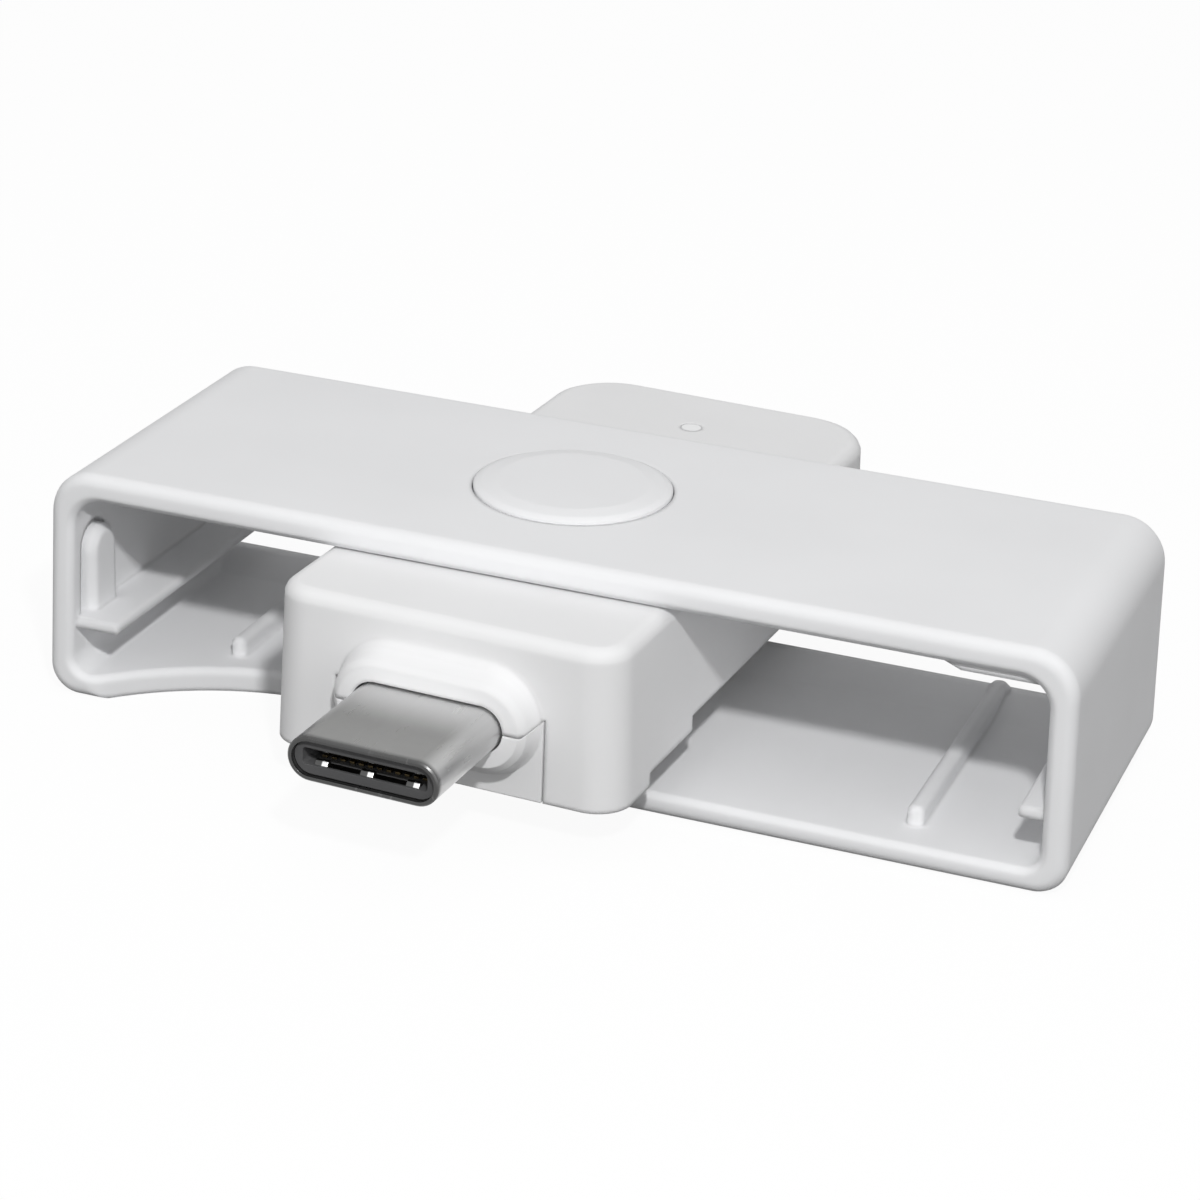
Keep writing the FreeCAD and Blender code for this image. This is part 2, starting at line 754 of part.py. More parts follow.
def make_card_switch_leaf():
    # A bent leaf that the card's leading edge lifts.
    rear = switch_rear() - spring_foot / 2
    seat = board_low - switch_height / 2
    low = spring_low + spring_thickness / 2
    tip = block_step + 2 * slot_clearance + spring_tip_run
    path = [(rear, seat), (rear - spring_foot, seat), (tip, low), (tip - spring_tip_run, low + spring_tip_rise)]
    return bent_strip(path, spring_thickness, switch_x - spring_width / 2, switch_x + spring_width / 2)


def make_small_parts(size, y):
    spots = [(i - (small_part_count - 1) / 2) * small_part_pitch for i in range(small_part_count)]
    return Part.Compound([seated_block(size, x, y, board_high) for x in spots])


def make_light_pipe():
    stem = post(pipe_diameter, board_high + led_size[2] + pipe_gap, tail_top, 0, light_y)
    return fused([stem, post(pipe_flange_diameter, core_ceiling - pipe_flange_height, core_ceiling, 0, light_y)])


def make_case_screws():
    screws = []
    low = main_under + screw_recess
    for x, y in screw_spots:
        head = post(screw_head_diameter, low, low + screw_head_height, x, y)
        shank = post(screw_diameter, low, board_high + screw_bite, x, y)
        screws.append(fused([head, shank]).cut(hexagon(screw_socket_width, low, low + screw_socket_depth, x, y)))
    return Part.Compound(screws)


sleeve_pieces = {"sleeve": make_sleeve()}
core_pieces = {
    "pivot_cap": make_pivot_cap(),
    "pivot_screw": make_pivot_screw(),
    "pivot_washer": make_pivot_washer(),
    "wear_ring": make_wear_ring(),
    "upper_case": make_upper_case(),
    "lower_case": make_lower_case(),
    "case_screws": make_case_screws(),
    "circuit_board": make_circuit_board(),
    "controller_chip": seated_block(chip_size, 0, chip_y, board_high),
    "crystal": seated_block(crystal_size, crystal_x, chip_y, board_high),
    "chip_capacitors": make_small_parts(capacitor_size, capacitor_row_y),
    "chip_resistors": make_small_parts(resistor_size, resistor_row_y),
    "status_led": seated_block(led_size, 0, light_y, board_high),
    "light_pipe": make_light_pipe(),
    "card_contact_holder": make_card_contact_holder(),
    "card_contacts": make_card_contacts(),
    "card_switch": make_card_switch(),
    "card_switch_leaf": make_card_switch_leaf(),
    "plug_shell": make_plug_shell(),
    "plug_insulator": make_plug_insulator(),
    "plug_upper_contacts": make_plug_contacts(1),
    "plug_lower_contacts": make_plug_contacts(-1),
    "plug_latch": make_plug_latch(),
    "plug_ground_springs": make_ground_springs(),
}

os.makedirs("parts", exist_ok=True)
pieces = dict(sleeve_pieces)
pieces.update((name, on_core(shape)) for name, shape in core_pieces.items())
for name, shape in pieces.items():
    shape.exportStep("parts/" + name + ".step")
    print(name, "valid" if shape.isValid() else "not valid", len(shape.Solids), "solids",
          round(shape.Volume, 2), "mm3")
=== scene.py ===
import math

import bmesh
import bpy
from mathutils import Matrix, Vector

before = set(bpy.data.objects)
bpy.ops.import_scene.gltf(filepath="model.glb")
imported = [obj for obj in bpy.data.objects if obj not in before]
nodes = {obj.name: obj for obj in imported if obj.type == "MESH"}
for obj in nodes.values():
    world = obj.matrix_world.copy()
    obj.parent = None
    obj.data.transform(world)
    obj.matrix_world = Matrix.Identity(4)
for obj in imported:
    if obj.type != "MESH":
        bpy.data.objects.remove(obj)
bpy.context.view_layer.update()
scene = bpy.context.scene
scene.view_settings.view_transform = "Standard"
print("frame loaded,", len(nodes), "nodes")


# camera, as the photo was taken
photoCamera = {
    "frameWidth": 1200,         # pixels of the photo
    "focalPixels": 3355.0,
    "sensor": 36.0,
    "yaw": 20.02,               # degrees to the right of the front
    "pitch": 23.18,
    "roll": 2.47,
    "distance": 0.18275,
    "aim": (-0.00028, 0.0, 0.00693),
    "nearest": 0.005,
    "farthest": 20.0,
}


def addCamera(spec):
    yaw, pitch, roll = (math.radians(spec[k]) for k in ("yaw", "pitch", "roll"))
    back = Vector((math.sin(yaw) * math.cos(pitch), -math.cos(yaw) * math.cos(pitch), math.sin(pitch)))
    right = (-back).cross(Vector((0, 0, 1))).normalized()
    up = right.cross(-back)
    rightTurned = right * math.cos(roll) + up * math.sin(roll)
    upTurned = up * math.cos(roll) - right * math.sin(roll)
    data = bpy.data.cameras.new("photoCamera")
    data.sensor_width = spec["sensor"]
    data.lens = spec["focalPixels"] / spec["frameWidth"] * spec["sensor"]
    data.clip_start = spec["nearest"]
    data.clip_end = spec["farthest"]
    camera = bpy.data.objects.new("photoCamera", data)
    turn = Matrix((rightTurned, upTurned, back)).transposed().to_4x4()
    camera.matrix_world = Matrix.Translation(Vector(spec["aim"]) + back * spec["distance"]) @ turn
    scene.collection.objects.link(camera)
    scene.camera = camera


addCamera(photoCamera)
print("camera set")


# node helpers
def addNode(tree, kind, values=None, **settings):
    made = tree.nodes.new(kind)
    for key, value in settings.items():
        setattr(made, key, value)
    for key, value in (values or {}).items():
        made.inputs[key].default_value = value
    return made


def mathStep(tree, operation, first, second=0):
    # each side is a socket or a number
    step = tree.nodes.new("ShaderNodeMath")
    step.operation = operation
    for place, side in zip(step.inputs, (first, second)):
        if isinstance(side, (int, float)):
            place.default_value = side
        else:
            tree.links.new(side, place)
    return step.outputs[0]


def spread(tree, value, fromMin, fromMax, toMin, toMax, soft=False):
    limits = {"From Min": fromMin, "From Max": fromMax, "To Min": toMin, "To Max": toMax}
    step = addNode(tree, "ShaderNodeMapRange", limits)
    if soft:
        step.interpolation_type = "SMOOTHSTEP"
    tree.links.new(value, step.inputs["Value"])
    return step.outputs["Result"]


def mixColours(tree, share, first, second, way="MIX"):
    step = tree.nodes.new("ShaderNodeMix")
    step.data_type = "RGBA"
    step.blend_type = way
    for place, side in zip((step.inputs[0], step.inputs[6], step.inputs[7]), (share, first, second)):
        if isinstance(side, bpy.types.NodeSocket):
            tree.links.new(side, place)
        else:
            place.default_value = side if isinstance(side, float) else (*side, 1)
    return step.outputs[2]


def fromNearest(tree, value, pitch):
    # distance to the nearest multiple of the pitch, as a share of the pitch
    return mathStep(tree, "PINGPONG", mathStep(tree, "DIVIDE", value, pitch), 0.5)


def fromCentre(tree, x, y):
    squares = [mathStep(tree, "MULTIPLY", side, side) for side in (x, y)]
    return mathStep(tree, "SQRT", mathStep(tree, "ADD", *squares))


# light: a key lamp from the front and above, an overhead panel, a weak panel on either side
keyLight = {"place": (0.052, -0.116, 0.111), "power": 22.2, "radius": 0.005}
panels = {
    "overheadPanel": {"place": (-0.05, -0.05, 0.45), "size": 0.5, "power": 0.26},
    "rightPanel": {"place": (0.22, -0.15, 0.05), "size": 0.15, "power": 0.08},
    "leftPanel": {"place": (-0.16, -0.28, 0.12), "size": 0.2, "power": 0.06},
}
surround = {"frontLight": 0.42, "backLight": 0.36}


def addKey(spec):
    # close by, but evened out so that both ends of the sleeve are as bright
    data = bpy.data.lights.new("keyLight", "POINT")
    data.energy = spec["power"]
    data.shadow_soft_size = spec["radius"]
    data.use_nodes = True
    tree = data.node_tree
    even = addNode(tree, "ShaderNodeLightFalloff", {"Strength": 1.0})
    tree.links.new(even.outputs["Constant"], tree.nodes["Emission"].inputs["Strength"])
    key = bpy.data.objects.new("keyLight", data)
    key.location = spec["place"]
    scene.collection.objects.link(key)


def addPanel(name, spec):
    data = bpy.data.lights.new(name, "AREA")
    data.shape = "SQUARE"
    data.size = spec["size"]
    data.energy = spec["power"]
    panel = bpy.data.objects.new(name, data)
    panel.location = spec["place"]
    away = Vector(spec["place"]) - Vector(photoCamera["aim"])
    panel.rotation_euler = away.to_track_quat("Z", "Y").to_euler()
    scene.collection.objects.link(panel)


def seenDirectly(tree):
    # 1 for camera, mirror and clear rays, 0 for the light that reaches the object
    path = tree.nodes.new("ShaderNodeLightPath")
    total = path.outputs["Is Camera Ray"]
    for name in ("Is Glossy Ray", "Is Transmission Ray"):
        total = mathStep(tree, "MAXIMUM", total, path.outputs[name])
    return total


def addSurround(spec):
    world = bpy.data.worlds.new("studio")
    scene.world = world
    world.use_nodes = True
    tree = world.node_tree
    soft = tree.nodes["Background"]
    soft.inputs["Color"].default_value = (1, 1, 1, 1)
    direction = tree.nodes.new("ShaderNodeTexCoord")
    parts = tree.nodes.new("ShaderNodeSeparateXYZ")
    tree.links.new(direction.outputs["Generated"], parts.inputs[0])
    level = spread(tree, parts.outputs["Y"], -1, 1, spec["frontLight"], spec["backLight"])
    tree.links.new(level, soft.inputs["Strength"])
    white = addNode(tree, "ShaderNodeBackground", {"Color": (1, 1, 1, 1)})
    mix = tree.nodes.new("ShaderNodeMixShader")
    tree.links.new(seenDirectly(tree), mix.inputs["Fac"])
    tree.links.new(soft.outputs[0], mix.inputs[1])
    tree.links.new(white.outputs[0], mix.inputs[2])
    tree.links.new(mix.outputs[0], tree.nodes["World Output"].inputs["Surface"])


# white paper that mostly glows for the camera, and keeps a share of the object's shadow
paperFloor = {"half": 3.0, "drop": 0.00002, "seenTone": 1.0, "bounceTone": 0.15, "shadowShare": 0.06,
              "roughness": 0.9}


def addFloor(spec):
    sheet = bmesh.new()
    bmesh.ops.create_grid(sheet, x_segments=1, y_segments=1, size=spec["half"])
    bmesh.ops.translate(sheet, verts=sheet.verts, vec=(0, 0, -spec["drop"]))
    mesh = bpy.data.meshes.new("floor")
    sheet.to_mesh(mesh)
    sheet.free()
    floor = bpy.data.objects.new("floor", mesh)
    scene.collection.objects.link(floor)
    material = bpy.data.materials.new("paperFloor")
    material.use_nodes = True
    tree = material.node_tree
    paper = tree.nodes["Principled BSDF"]
    paper.inputs["Roughness"].default_value = spec["roughness"]
    paper.inputs["Specular IOR Level"].default_value = 0.0
    direct = seenDirectly(tree)
    tone = spread(tree, direct, 0, 1, spec["bounceTone"], spec["seenTone"])
    tree.links.new(tone, paper.inputs["Base Color"])
    glow = addNode(tree, "ShaderNodeEmission", {"Strength": 1.0})
    mix = tree.nodes.new("ShaderNodeMixShader")
    tree.links.new(mathStep(tree, "MULTIPLY", direct, 1.0 - spec["shadowShare"]), mix.inputs["Fac"])
    tree.links.new(paper.outputs[0], mix.inputs[1])
    tree.links.new(glow.outputs[0], mix.inputs[2])
    tree.links.new(mix.outputs[0], tree.nodes["Material Output"].inputs["Surface"])
    mesh.materials.append(material)


addKey(keyLight)
for panelName, panelSpec in panels.items():
    addPanel(panelName, panelSpec)
addSurround(surround)
addFloor(paperFloor)
print("light and floor set")


# places on the object for the patterns to follow
core = {"pivot": (-0.0021, 0.0), "turn": -2.6}      # the core's own axes, as it stands in the frame


def objectPlace(tree):
    return tree.nodes.new("ShaderNodeTexCoord").outputs["Object"]


def corePlace(tree):
    # object coordinates turned back to the core's own axes, from the pivot
    back = math.radians(-core["turn"])
    x, y = core["pivot"]
    shift = (y * math.sin(back) - x * math.cos(back), -x * math.sin(back) - y * math.cos(back), 0)
    turned = addNode(tree, "ShaderNodeMapping", {"Rotation": (0, 0, back), "Location": shift})
    tree.links.new(objectPlace(tree), turned.inputs["Vector"])
    return turned.outputs[0]


def axes(tree, place):
    parts = tree.nodes.new("ShaderNodeSeparateXYZ")
    tree.links.new(place, parts.inputs[0])
    return parts.outputs


def noise(tree, place, scale, detail, rough=0.5):
    made = addNode(tree, "ShaderNodeTexNoise", {"Scale": scale, "Detail": detail, "Roughness": rough})
    tree.links.new(place, made.inputs["Vector"])
    return made.outputs["Fac"]


# effects that several finishes share
def startGroup(name, inputs, outputs):
    tree = bpy.data.node_groups.new(name, "ShaderNodeTree")
    for label, kind in inputs:
        tree.interface.new_socket(label, in_out="INPUT", socket_type="NodeSocket" + kind)
    for label, kind in outputs:
        tree.interface.new_socket(label, in_out="OUTPUT", socket_type="NodeSocket" + kind)
    return tree, tree.nodes.new("NodeGroupInput").outputs, tree.nodes.new("NodeGroupOutput").inputs


def toned(tree, tint, amount, pattern):
    # tint darkened by up to the amount where the pattern is 1
    tone = mathStep(tree, "SUBTRACT", 1.0, mathStep(tree, "MULTIPLY", amount, pattern))
    return mixColours(tree, 1.0, tint, tone, "MULTIPLY")


surfaceOutputs = [("Color", "Color"), ("Roughness", "Float"), ("Height", "Float")]

# moulded plastic: slow clouds in tone and gloss over a fine spark-eroded grain
skinPattern = {"cloudScale": 90, "cloudBand": (0.35, 0.65), "patchScale": 420, "patchBand": (0.3, 0.7),
               "patchGloss": 0.04, "grainDetail": 3.0, "grainRough": 0.6}


def makeMouldedSkin(pattern):
    inputs = [("Place", "Vector"), ("Tint", "Color"), ("Clouds", "Float"), ("Gloss", "Float"),
              ("Grain", "Float")]
    tree, given, out = startGroup("mouldedSkin", inputs, surfaceOutputs)
    slow = spread(tree, noise(tree, given["Place"], pattern["cloudScale"], 2), *pattern["cloudBand"], 0, 1)
    tree.links.new(toned(tree, given["Tint"], given["Clouds"], slow), out["Color"])
    patch = noise(tree, given["Place"], pattern["patchScale"], 3)
    shift = spread(tree, patch, *pattern["patchBand"], -pattern["patchGloss"], pattern["patchGloss"])
    tree.links.new(mathStep(tree, "ADD", given["Gloss"], shift), out["Roughness"])
    grain = {"Detail": pattern["grainDetail"], "Roughness": pattern["grainRough"]}
    fine = addNode(tree, "ShaderNodeTexNoise", grain)
    tree.links.new(given["Place"], fine.inputs["Vector"])
    tree.links.new(given["Grain"], fine.inputs["Scale"])
    tree.links.new(fine.outputs["Fac"], out["Height"])
    return tree


# drawn or rolled sheet: long fine streaks along Y
sheetPattern = {"stretch": (9000, 260, 9000), "streakBand": (0.3, 0.7), "streakGloss": 0.05,
                "cloudScale": 600, "cloudBand": (0.35, 0.65), "cloudGloss": 0.04}


def makeDrawnMetal(pattern):
    inputs = [("Place", "Vector"), ("Tint", "Color"), ("Streaks", "Float"), ("Gloss", "Float")]
    tree, given, out = startGroup("drawnMetal", inputs, surfaceOutputs)
    stretched = addNode(tree, "ShaderNodeMapping", {"Scale": pattern["stretch"]})
    tree.links.new(given["Place"], stretched.inputs["Vector"])
    streak = noise(tree, stretched.outputs[0], 1.0, 3, 0.6)
    dark = spread(tree, streak, *pattern["streakBand"], 1, 0)
    tree.links.new(toned(tree, given["Tint"], given["Streaks"], dark), out["Color"])
    cloud = noise(tree, given["Place"], pattern["cloudScale"], 3)
    byStreak = spread(tree, streak, *pattern["streakBand"], -pattern["streakGloss"], pattern["streakGloss"])
    byCloud = spread(tree, cloud, *pattern["cloudBand"], -pattern["cloudGloss"], pattern["cloudGloss"])
    shine = mathStep(tree, "ADD", given["Gloss"], byStreak)
    tree.links.new(mathStep(tree, "ADD", shine, byCloud), out["Roughness"])
    tree.links.new(streak, out["Height"])
    return tree


# sparse faint rubs, for what is handled and slid
rubPattern = {"turn": (0.3, 0.2, 0.7), "stretch": (2600, 300, 900), "rubBand": (0.6, 0.78),
              "spotScale": 140, "spotBand": (0.45, 0.65)}


def makeHandlingMarks(pattern):
    inputs = [("Place", "Vector"), ("Amount", "Float")]
    tree, given, out = startGroup("handlingMarks", inputs, [("Mask", "Float")])
    bent = addNode(tree, "ShaderNodeMapping", {"Rotation": pattern["turn"], "Scale": pattern["stretch"]})
    tree.links.new(given["Place"], bent.inputs["Vector"])
    rub = spread(tree, noise(tree, bent.outputs[0], 1.0, 4, 0.65), *pattern["rubBand"], 0, 1, soft=True)
    spots = noise(tree, given["Place"], pattern["spotScale"], 2)
    inSpots = mathStep(tree, "MULTIPLY", rub, spread(tree, spots, *pattern["spotBand"], 0, 1, soft=True))
    tree.links.new(mathStep(tree, "MULTIPLY", inSpots, given["Amount"]), out["Mask"])
    return tree


mouldedSkin = makeMouldedSkin(skinPattern)
drawnMetal = makeDrawnMetal(sheetPattern)
handlingMarks = makeHandlingMarks(rubPattern)
print("shared effects made")


def placeGroup(tree, group, place, values):
    made = tree.nodes.new("ShaderNodeGroup")
    made.node_tree = group
    tree.links.new(place, made.inputs["Place"])
    for label, value in values.items():
        if isinstance(value, bpy.types.NodeSocket):
            tree.links.new(value, made.inputs[label])
        else:
            made.inputs[label].default_value = (*value, 1) if isinstance(value, tuple) else value
    return made.outputs


def placeSkin(tree, place, tint, spec):
    values = {"Tint": tint, "Clouds": spec["clouds"], "Gloss": spec["gloss"], "Grain": spec["grain"]}
    return placeGroup(tree, mouldedSkin, place, values)


def startFinish(name, fixed):
    # fixed holds what is the same all over the surface
    material = bpy.data.materials.new(name)
    material.use_nodes = True
    tree = material.node_tree
    shader = tree.nodes["Principled BSDF"]
    for label, value in fixed.items():
        shader.inputs[label].default_value = (*value, 1) if isinstance(value, tuple) else value
    return material, tree, shader


def addRelief(tree, shader, height, depth, softEdge):
    # bump over edges that read as slightly rounded
    bump = addNode(tree, "ShaderNodeBump", {"Strength": 1.0, "Distance": depth})
    tree.links.new(height, bump.inputs["Height"])
    if softEdge:
        soft = addNode(tree, "ShaderNodeBevel", {"Radius": softEdge}, samples=6)
        tree.links.new(soft.outputs[0], bump.inputs["Normal"])
    tree.links.new(bump.outputs[0], shader.inputs["Normal"])


def plasticFinish(name, spec):
    material, tree, shader = startFinish(name, spec["fixed"])
    place = objectPlace(tree)
    skin = placeSkin(tree, place, spec["tint"], spec)
    rubs = placeGroup(tree, handlingMarks, place, {"Amount": spec["rubs"]})["Mask"]
    tree.links.new(mixColours(tree, rubs, skin["Color"], spec["rubTint"]), shader.inputs["Base Color"])
    dulling = mathStep(tree, "MULTIPLY", rubs, spec["rubDulling"])
    tree.links.new(mathStep(tree, "ADD", skin["Roughness"], dulling), shader.inputs["Roughness"])
    addRelief(tree, shader, skin["Height"], spec["grainDepth"], spec["softEdge"])
    return material


def dressMetal(tree, shader, place, tint, spec):
    values = {"Tint": tint, "Streaks": spec["streaks"], "Gloss": spec["gloss"]}
    sheet = placeGroup(tree, drawnMetal, place, values)
    rubs = placeGroup(tree, handlingMarks, place, {"Amount": spec["rubs"]})["Mask"]
    tree.links.new(mixColours(tree, rubs, sheet["Color"], spec["rubTint"]), shader.inputs["Base Color"])
    tree.links.new(sheet["Roughness"], shader.inputs["Roughness"])
    addRelief(tree, shader, sheet["Height"], spec["streakDepth"], spec["softEdge"])


def metalFinish(name, spec):
    material, tree, shader = startFinish(name, spec["fixed"])
    dressMetal(tree, shader, corePlace(tree), spec["tint"], spec)
    return material


# white casings, one recipe: the core is cleaner and softer at its edges, its lower half crisper
whiteCasing = {"tint": (0.855, 0.858, 0.868), "clouds": 0.025, "gloss": 0.64, "grain": 5200.0,
               "grainDepth": 0.0000025, "softEdge": 0.0003, "rubs": 0.12, "rubTint": (0.8, 0.8, 0.8),
               "rubDulling": 0.2, "fixed": {"Specular IOR Level": 0.12}}
whiteSleeve = dict(whiteCasing, softEdge=0.00045)
whiteCore = dict(whiteCasing, tint=(0.86, 0.861, 0.866), gloss=0.62, rubs=0.06, softEdge=0.0004)
whiteTongue = dict(whiteCore, softEdge=0.00012)

# other plastics
slipRing = dict(whiteCasing, tint=(0.8, 0.8, 0.77), clouds=0.06, gloss=0.3, grain=2600.0, rubs=0.3)
blackMoulding = dict(whiteCasing, tint=(0.02, 0.02, 0.021), clouds=0.3, gloss=0.42, grain=4200.0, rubs=0.05,
                     rubTint=(0.06, 0.06, 0.06), softEdge=0.00006)
plugLiner = dict(blackMoulding, tint=(0.11, 0.11, 0.112), gloss=0.5, rubs=0.02)
milkyLamp = dict(whiteCasing, tint=(0.85, 0.86, 0.8), clouds=0.05, gloss=0.25, grain=2600.0, rubs=0.0,
                 softEdge=0.00008,
                 fixed={"Subsurface Weight": 0.3, "Subsurface Radius": Vector((0.0004, 0.0004, 0.0003))})
frostedPipe = dict(whiteCasing, tint=(0.88, 0.885, 0.89), clouds=0.03, gloss=0.3, grain=3800.0, rubs=0.0,
                   softEdge=0.0002, fixed={"Coat Weight": 0.3, "Coat Roughness": 0.1})

# metals
screwZinc = {"tint": (0.55, 0.55, 0.56), "streaks": 0.2, "gloss": 0.34, "streakDepth": 0.000002,
             "softEdge": 0.00008, "rubs": 0.3, "rubTint": (0.7, 0.7, 0.7), "fixed": {"Metallic": 1.0}}
crystalCan = dict(screwZinc, tint=(0.62, 0.62, 0.61), streaks=0.3, gloss=0.3, softEdge=0.00015)
goldFlash = dict(screwZinc, tint=(0.83, 0.63, 0.28), streaks=0.12, gloss=0.22, rubs=0.15,
                 rubTint=(0.7, 0.56, 0.34), softEdge=0.00003)
bladesPaintedShade = dict(goldFlash, tint=(0.17, 0.13, 0.07), gloss=0.5)     # the plug's own, tinted dark as painted shade for the dark of its mouth
springSteel = dict(screwZinc, tint=(0.6, 0.6, 0.6), streaks=0.1, gloss=0.3, rubs=0.1, softEdge=0.00005)

# plug shell: nickel with a painted reflection: bright by the collar and on its round sides, darkened on the
# flats towards the tip, and painted dark at the tip
plugShell = dict(screwZinc, tint=(0.65, 0.65, 0.65), paintedDarkReflectionTint=(0.29, 0.29, 0.285), paintedTipReflectionTint=(0.09, 0.09, 0.09),
                 reflectionFadeFrom=-0.0180, reflectionFadeTo=-0.0218, flatHalf=0.0029, sideHalf=0.0039, sideReflectionShare=0.25,
                 tipFrom=-0.0241, tipTo=-0.0246, streaks=0.05, gloss=0.33, streakDepth=0.000001,
                 rubs=0.4, rubTint=(0.5, 0.5, 0.5))


def plugShellFinish(name, spec):
    material, tree, shader = startFinish(name, spec["fixed"])
    place = corePlace(tree)
    where = axes(tree, place)
    # painted reflection: the flats darken towards the tip, less on the round sides, and the tip is painted
    # dark
    along = spread(tree, where["Y"], spec["reflectionFadeTo"], spec["reflectionFadeFrom"], 1, 0, soft=True)
    aside = mathStep(tree, "ABSOLUTE", where["X"])
    flat = spread(tree, aside, spec["flatHalf"], spec["sideHalf"], 1, spec["sideReflectionShare"], soft=True)
    paintedReflection = mixColours(tree, mathStep(tree, "MULTIPLY", along, flat), spec["tint"], spec["paintedDarkReflectionTint"])
    tip = spread(tree, where["Y"], spec["tipTo"], spec["tipFrom"], 1, 0, soft=True)
    dressMetal(tree, shader, place, mixColours(tree, tip, paintedReflection, spec["paintedTipReflectionTint"]), spec)
    return material


# ground springs: strips tinted dark as painted shade, with a painted glint, a small bright spot, on each
# dimple
groundSprings = dict(screwZinc, tint=(0.1, 0.1, 0.1), paintedGlintTint=(0.95, 0.95, 0.95), pitch=0.0025,
                     spotShift=0.0002, spotHalf=0.00012, spotFade=0.00019, frontFrom=-0.02393,
                     frontTo=-0.02388, streaks=0.1, gloss=0.35, streakDepth=0.000001,
                     softEdge=0.00006, rubs=0.0)


def groundSpringFinish(name, spec):
    material, tree, shader = startFinish(name, spec["fixed"])
    place = corePlace(tree)
    where = axes(tree, place)
    away = fromNearest(tree, mathStep(tree, "SUBTRACT", where["X"], spec["spotShift"]), spec["pitch"])
    half, fade = (spec[k] / spec["pitch"] for k in ("spotHalf", "spotFade"))
    across = spread(tree, away, half, fade, 1, 0, soft=True)
    front = spread(tree, where["Y"], spec["frontFrom"], spec["frontTo"], 1, 0)
    # painted glint: a bright spot on the front of each dimple
    spot = mathStep(tree, "MULTIPLY", across, front)
    dressMetal(tree, shader, place, mixColours(tree, spot, spec["tint"], spec["paintedGlintTint"]), spec)
    return material


# circuit board: green resist over faint tracks, with a grid of plated holes
boardResist = {"resist": (0.03, 0.2, 0.095), "track": (0.05, 0.29, 0.15), "plating": (0.72, 0.6, 0.33),
               "trackPitch": 0.0008, "trackEdge": 0.3, "turnScale": 210, "turnEdge": 0.5, "gapScale": 330,
               "gapEdge": 0.44, "holePitch": 0.0032, "holeRadius": 0.00032, "clouds": 0.15, "gloss": 0.3,
               "grain": 3000.0, "relief": 0.00003, "fixed": {"Coat Weight": 0.25, "Coat Roughness": 0.2}}


def boardFinish(name, spec):
    material, tree, shader = startFinish(name, spec["fixed"])
    place = corePlace(tree)
    where = axes(tree, place)
    turned = mathStep(tree, "GREATER_THAN", noise(tree, place, spec["turnScale"], 0), spec["turnEdge"])
    acrossX, acrossY = (fromNearest(tree, where[axis], spec["trackPitch"]) for axis in "XY")
    tracks = mathStep(tree, "GREATER_THAN", mixColours(tree, turned, acrossX, acrossY), spec["trackEdge"])
    unbroken = mathStep(tree, "GREATER_THAN", noise(tree, place, spec["gapScale"], 0), spec["gapEdge"])
    copper = mathStep(tree, "MULTIPLY", tracks, unbroken)
    resist = placeSkin(tree, place, mixColours(tree, copper, spec["resist"], spec["track"]), spec)
    holeX, holeY = (fromNearest(tree, where[axis], spec["holePitch"]) for axis in "XY")
    radius = spec["holeRadius"] / spec["holePitch"]
    plated = mathStep(tree, "LESS_THAN", fromCentre(tree, holeX, holeY), radius)
    tree.links.new(mixColours(tree, plated, resist["Color"], spec["plating"]), shader.inputs["Base Color"])
    tree.links.new(plated, shader.inputs["Metallic"])
    tree.links.new(resist["Roughness"], shader.inputs["Roughness"])
    addRelief(tree, shader, mathStep(tree, "ADD", copper, plated), spec["relief"], 0)
    return material


# chip parts in a row, each with two tinned ends
ceramicChips = {"tint": (0.42, 0.31, 0.21), "clouds": 0.2, "gloss": 0.5, "grain": 5000.0,
                "grainDepth": 0.000004, "softEdge": 0.00005, "pitch": 0.0014, "bodyHalf": 0.0003,
                "tin": (0.66, 0.66, 0.64)}
resistorChips = dict(ceramicChips, tint=(0.02, 0.02, 0.022), clouds=0.3, gloss=0.35)


def chipRowFinish(name, spec):
    material, tree, shader = startFinish(name, {})
    place = corePlace(tree)
    along = mathStep(tree, "ADD", axes(tree, place)["X"], spec["pitch"] / 2)
    fromMiddle = fromNearest(tree, along, spec["pitch"])
    ends = mathStep(tree, "GREATER_THAN", fromMiddle, spec["bodyHalf"] / spec["pitch"])
    body = placeSkin(tree, place, spec["tint"], spec)
    tree.links.new(mixColours(tree, ends, body["Color"], spec["tin"]), shader.inputs["Base Color"])
    tree.links.new(ends, shader.inputs["Metallic"])
    tree.links.new(body["Roughness"], shader.inputs["Roughness"])
    addRelief(tree, shader, body["Height"], spec["grainDepth"], spec["softEdge"])
    return material


# controller chip: black epoxy with a round key mark and tinned pads along its foot
chipPackage = {"tint": (0.022, 0.022, 0.024), "clouds": 0.25, "gloss": 0.5, "grain": 6000.0,
               "relief": 0.00001, "softEdge": 0.00005, "centre": (0.0, -0.008), "half": 0.0025,
               "markInset": 0.0007, "markRadius": 0.00028, "markTint": (0.045, 0.045, 0.048),
               "padPitch": 0.0005, "padEdge": 0.26, "padTop": 0.00735, "tin": (0.66, 0.66, 0.64)}


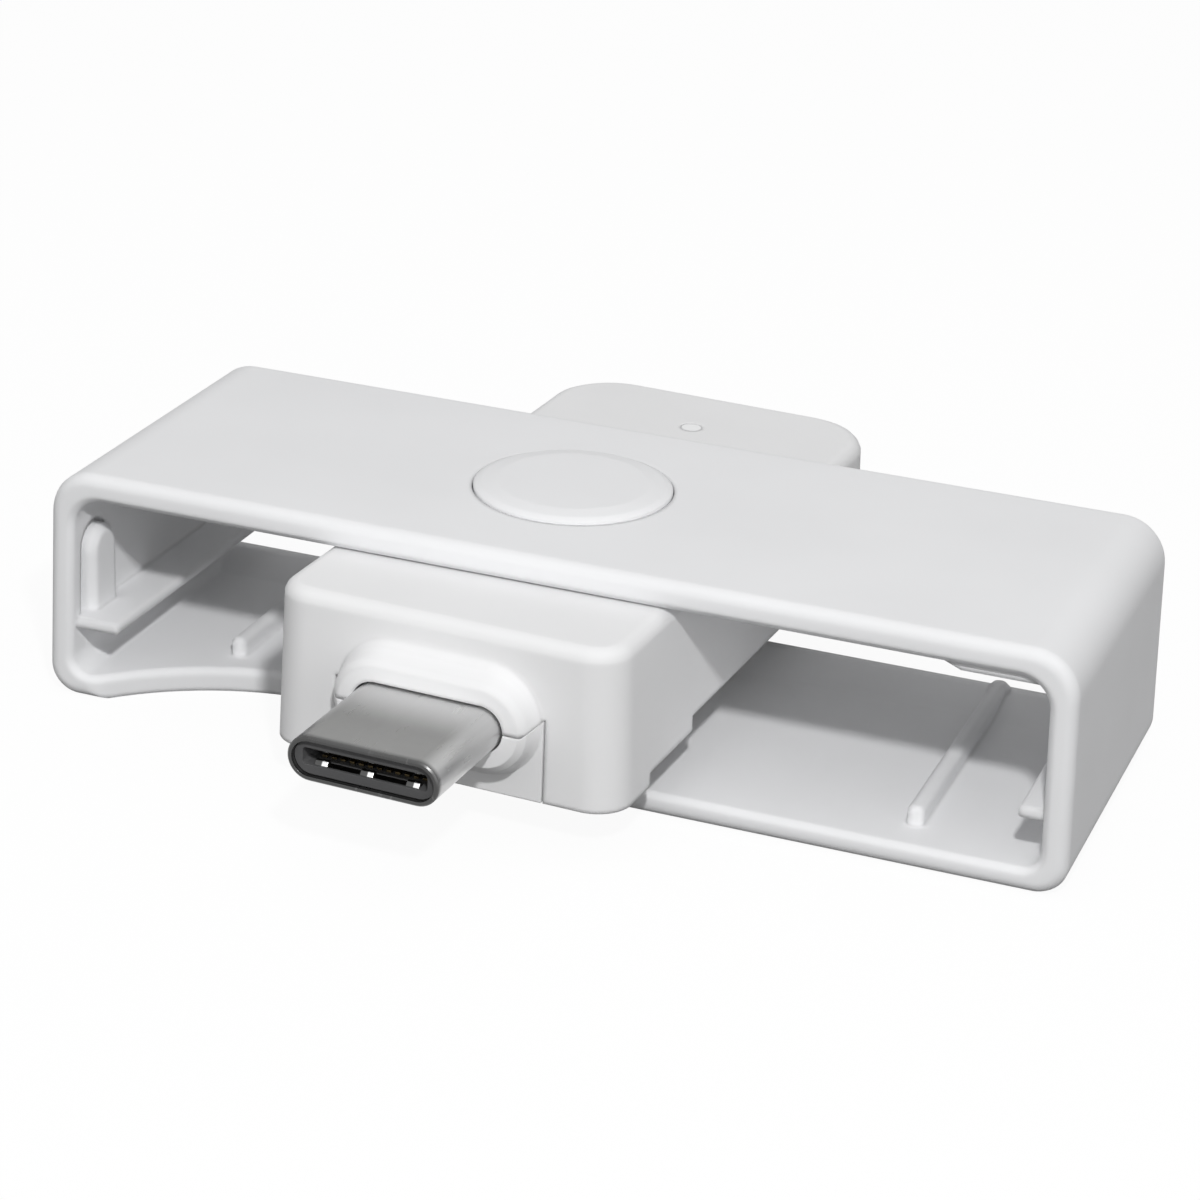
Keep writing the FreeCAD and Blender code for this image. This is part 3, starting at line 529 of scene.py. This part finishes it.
def chipFinish(name, spec):
    material, tree, shader = startFinish(name, {})
    place = corePlace(tree)
    where = axes(tree, place)
    epoxy = placeSkin(tree, place, spec["tint"], spec)
    corner = spec["half"] - spec["markInset"]
    markX = mathStep(tree, "SUBTRACT", where["X"], spec["centre"][0] - corner)
    markY = mathStep(tree, "SUBTRACT", where["Y"], spec["centre"][1] + corner)
    mark = mathStep(tree, "LESS_THAN", fromCentre(tree, markX, markY), spec["markRadius"])
    padX, padY = (fromNearest(tree, where[axis], spec["padPitch"]) for axis in "XY")
    onPitch = mathStep(tree, "GREATER_THAN", mathStep(tree, "MAXIMUM", padX, padY), spec["padEdge"])
    pads = mathStep(tree, "MULTIPLY", mathStep(tree, "LESS_THAN", where["Z"], spec["padTop"]), onPitch)
    marked = mixColours(tree, mark, epoxy["Color"], spec["markTint"])
    tree.links.new(mixColours(tree, pads, marked, spec["tin"]), shader.inputs["Base Color"])
    tree.links.new(pads, shader.inputs["Metallic"])
    tree.links.new(epoxy["Roughness"], shader.inputs["Roughness"])
    height = mathStep(tree, "SUBTRACT", epoxy["Height"], mark)
    addRelief(tree, shader, height, spec["relief"], spec["softEdge"])
    return material


# every node's finish
blackPlastic = plasticFinish("blackPlastic", blackMoulding)
zincPlate = metalFinish("zincPlate", screwZinc)
contactGold = metalFinish("contactGold", goldFlash)
bladeGold = metalFinish("bladeGold", bladesPaintedShade)
finishes = {
    "sleeve": plasticFinish("sleeveWhite", whiteSleeve),
    "pivot_cap": plasticFinish("capWhite", whiteCasing),
    "upper_case": plasticFinish("coreWhite", whiteCore),
    "lower_case": plasticFinish("tongueWhite", whiteTongue),
    "wear_ring": plasticFinish("waxyRing", slipRing),
    "pivot_screw": zincPlate,
    "pivot_washer": zincPlate,
    "case_screws": zincPlate,
    "circuit_board": boardFinish("boardResist", boardResist),
    "controller_chip": chipFinish("chipPackage", chipPackage),
    "crystal": metalFinish("canMetal", crystalCan),
    "chip_capacitors": chipRowFinish("ceramicChips", ceramicChips),
    "chip_resistors": chipRowFinish("resistorChips", resistorChips),
    "status_led": plasticFinish("lampMilk", milkyLamp),
    "light_pipe": plasticFinish("pipeFrost", frostedPipe),
    "card_contact_holder": blackPlastic,
    "card_contacts": contactGold,
    "card_switch": blackPlastic,
    "card_switch_leaf": contactGold,
    "plug_shell": plugShellFinish("plugNickel", plugShell),
    "plug_insulator": plasticFinish("linerPlastic", plugLiner),
    "plug_upper_contacts": bladeGold,
    "plug_lower_contacts": bladeGold,
    "plug_latch": metalFinish("brightSteel", springSteel),
    "plug_ground_springs": groundSpringFinish("springPaintedGlints", groundSprings),
}
for nodeName, finish in finishes.items():
    nodes[nodeName].data.materials.clear()
    nodes[nodeName].data.materials.append(finish)
print("finishes on", len(finishes), "nodes")
